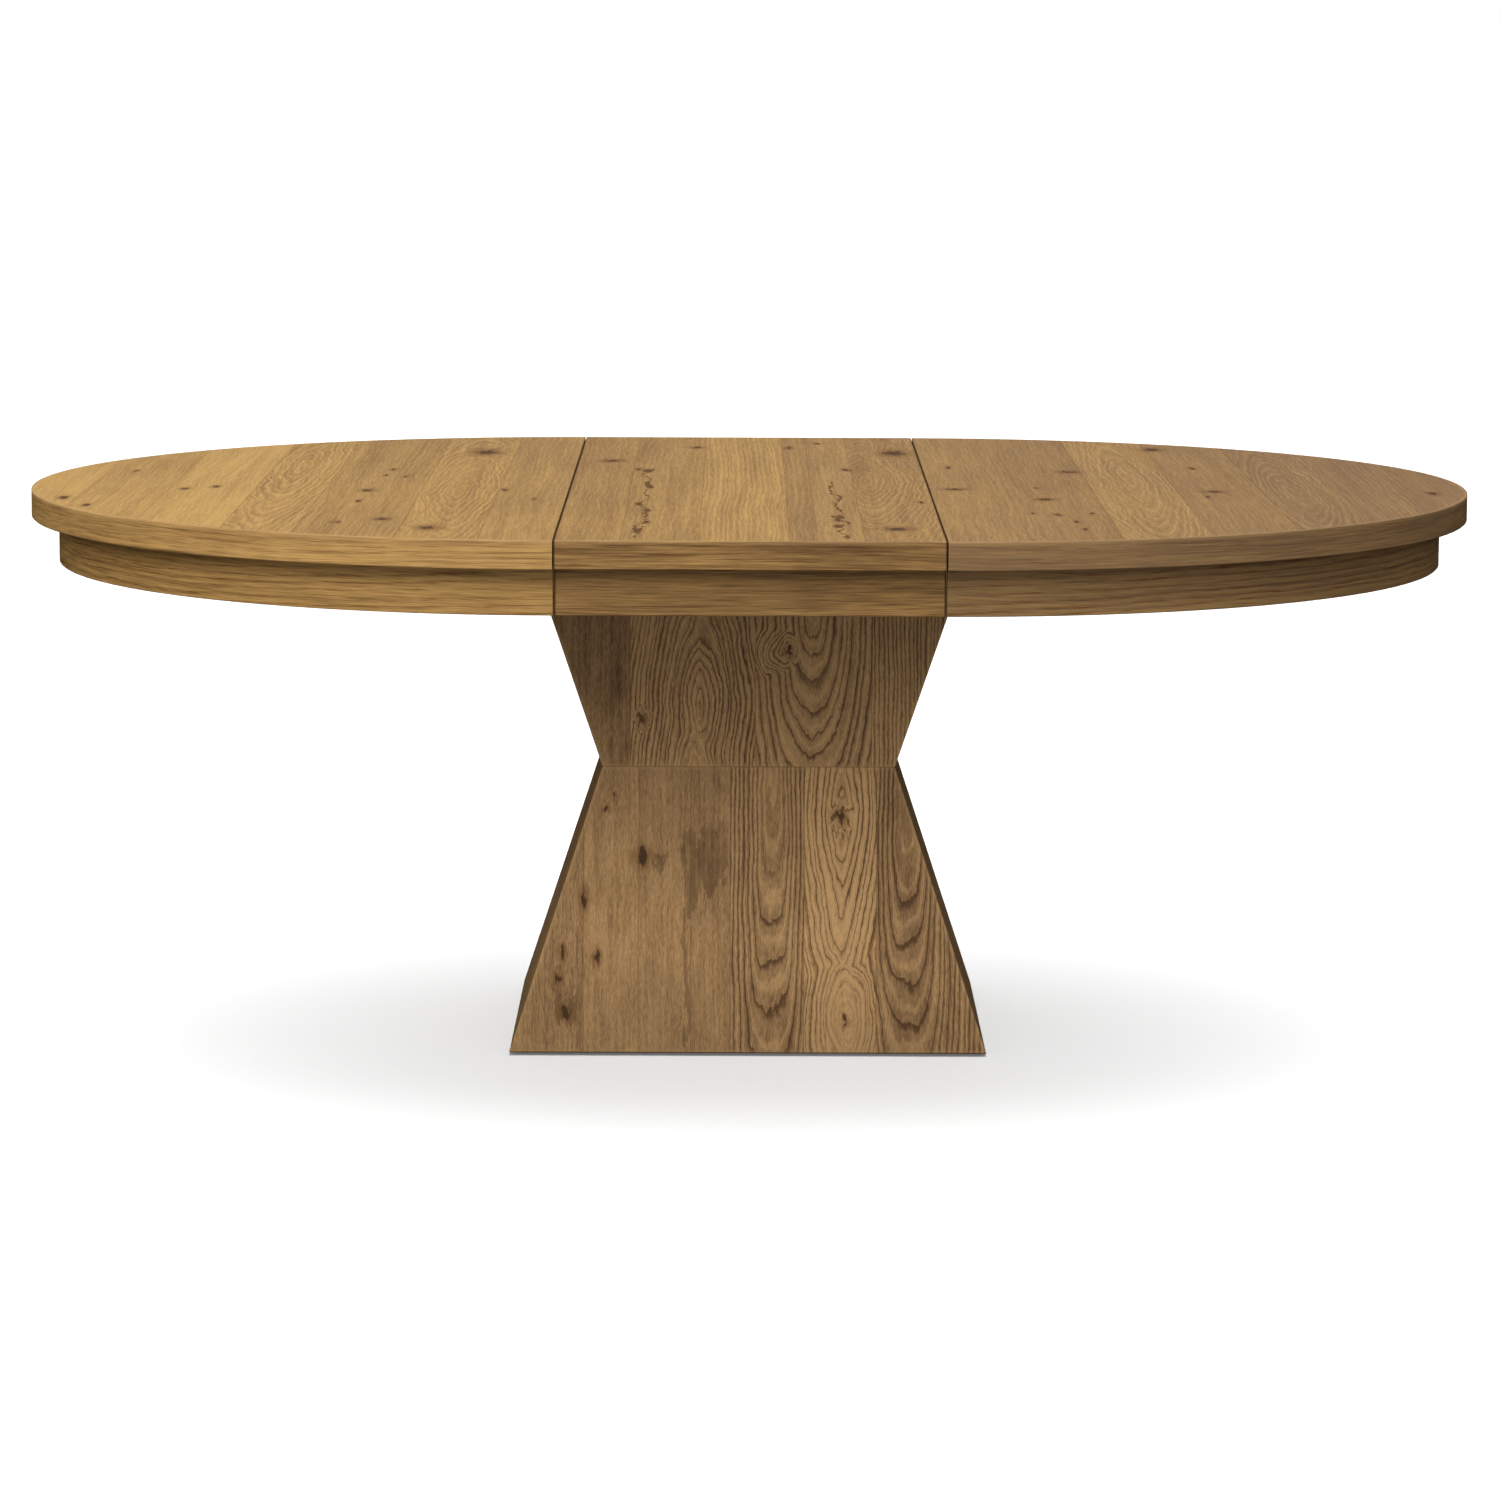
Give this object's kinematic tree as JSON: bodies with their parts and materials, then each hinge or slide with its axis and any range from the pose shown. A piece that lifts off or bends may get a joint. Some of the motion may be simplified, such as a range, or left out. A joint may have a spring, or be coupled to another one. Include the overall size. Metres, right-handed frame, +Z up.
{
  "type": "oval extending pedestal dining table",
  "caption": "Oval oak dining table that extends: half-round top halves slide apart on a geared runner frame to take a drop-in leaf, on an hourglass pedestal of tapering boxes.",
  "frame": {"origin": "on the floor under the middle of the table, halfway between the two top halves", "axes": "+X along the table, the way that it extends; +Y from the front to the back; +Z up"},
  "size_m": [2.0316, 1.524, 0.775],
  "materials": {
    "oak_top": "satin lacquer over knotty oak planks",
    "oak_lipping": "satin lacquered oak lipping",
    "oak_apron": "satin lacquered oak veneer on a laminated ring",
    "oak_pedestal": "satin lacquered oak boards with upright grain",
    "oak_block": "bare sawn oak",
    "beech_runner": "waxed beech",
    "birch_board": "bare birch plywood",
    "zinc_steel": "zinc plated",
    "gear_steel": "machined, lightly greased",
    "brass": "turned brass",
    "nylon_glide": "black nylon"
  },
  "bodies": {
    "pedestal": {"lower_front_panel": "oak_pedestal", "lower_back_panel": "oak_pedestal", "lower_left_panel": "oak_pedestal", "lower_right_panel": "oak_pedestal", "upper_front_panel": "oak_pedestal", "upper_back_panel": "oak_pedestal", "upper_left_panel": "oak_pedestal", "upper_right_panel": "oak_pedestal", "base_board": "birch_board", "lower_waist_board": "birch_board", "upper_waist_board": "birch_board", "crown_board": "birch_board", "lower_corner_blocks": "oak_block", "upper_corner_blocks": "oak_block", "waist_bolts": "zinc_steel", "waist_nuts": "zinc_steel", "floor_glides": "nylon_glide", "glide_screws": "zinc_steel", "fixed_runner_front": "beech_runner", "fixed_runner_back": "beech_runner", "runner_tie_left": "beech_runner", "runner_tie_right": "beech_runner", "runner_bolts": "zinc_steel", "bolt_inserts": "brass", "gear_bracket": "zinc_steel", "gear_axle": "gear_steel", "bracket_screws": "zinc_steel", "tie_screws": "zinc_steel"},
    "equalizer_gear": {"equalizer_gear": "gear_steel"},
    "left_half": {"left_top": "oak_top", "left_edge_band": "oak_lipping", "left_apron": "oak_apron", "left_apron_blocks": "oak_block", "left_runner_front": "beech_runner", "left_runner_back": "beech_runner", "left_runner_tie": "beech_runner", "left_rack": "gear_steel", "left_rack_block": "oak_block", "left_battens": "oak_block", "left_locating_pins": "brass", "left_screws": "zinc_steel"},
    "right_half": {"right_top": "oak_top", "right_edge_band": "oak_lipping", "right_apron": "oak_apron", "right_apron_blocks": "oak_block", "right_runner_front": "beech_runner", "right_runner_back": "beech_runner", "right_runner_tie": "beech_runner", "right_rack": "gear_steel", "right_rack_block": "oak_block", "right_battens": "oak_block", "right_locating_pins": "brass", "right_screws": "zinc_steel"},
    "leaf": {"leaf_top": "oak_top", "leaf_edge_bands": "oak_lipping", "leaf_apron_front": "oak_apron", "leaf_apron_back": "oak_apron", "leaf_apron_blocks": "oak_block", "leaf_battens": "oak_block", "leaf_screws": "zinc_steel"}
  },
  "joints": [
    {"name": "left_half_slide", "type": "slide", "parent": "pedestal", "child": "left_half", "axis": [-1, 0, 0], "range_m": [0, 0.06]},
    {"name": "right_half_slide", "type": "slide", "parent": "pedestal", "child": "right_half", "axis": [1, 0, 0], "range_m": [0, 0.06]},
    {"name": "equalizer_gear_turn", "type": "hinge", "parent": "pedestal", "child": "equalizer_gear", "pos_m": [0, 0, 0.702], "axis": [0, 0, 1], "range_deg": [-116, 0]},
    {"name": "leaf_lift", "type": "slide", "parent": "pedestal", "child": "leaf", "axis": [0, 0, 1], "range_m": [0, 0.16]}
  ],
  "couplings": [
    {"joint": "right_half_slide", "follows": "left_half_slide", "ratio": 1},
    {"joint": "equalizer_gear_turn", "follows": "left_half_slide", "rad_per_m": -33.333}
  ]
}
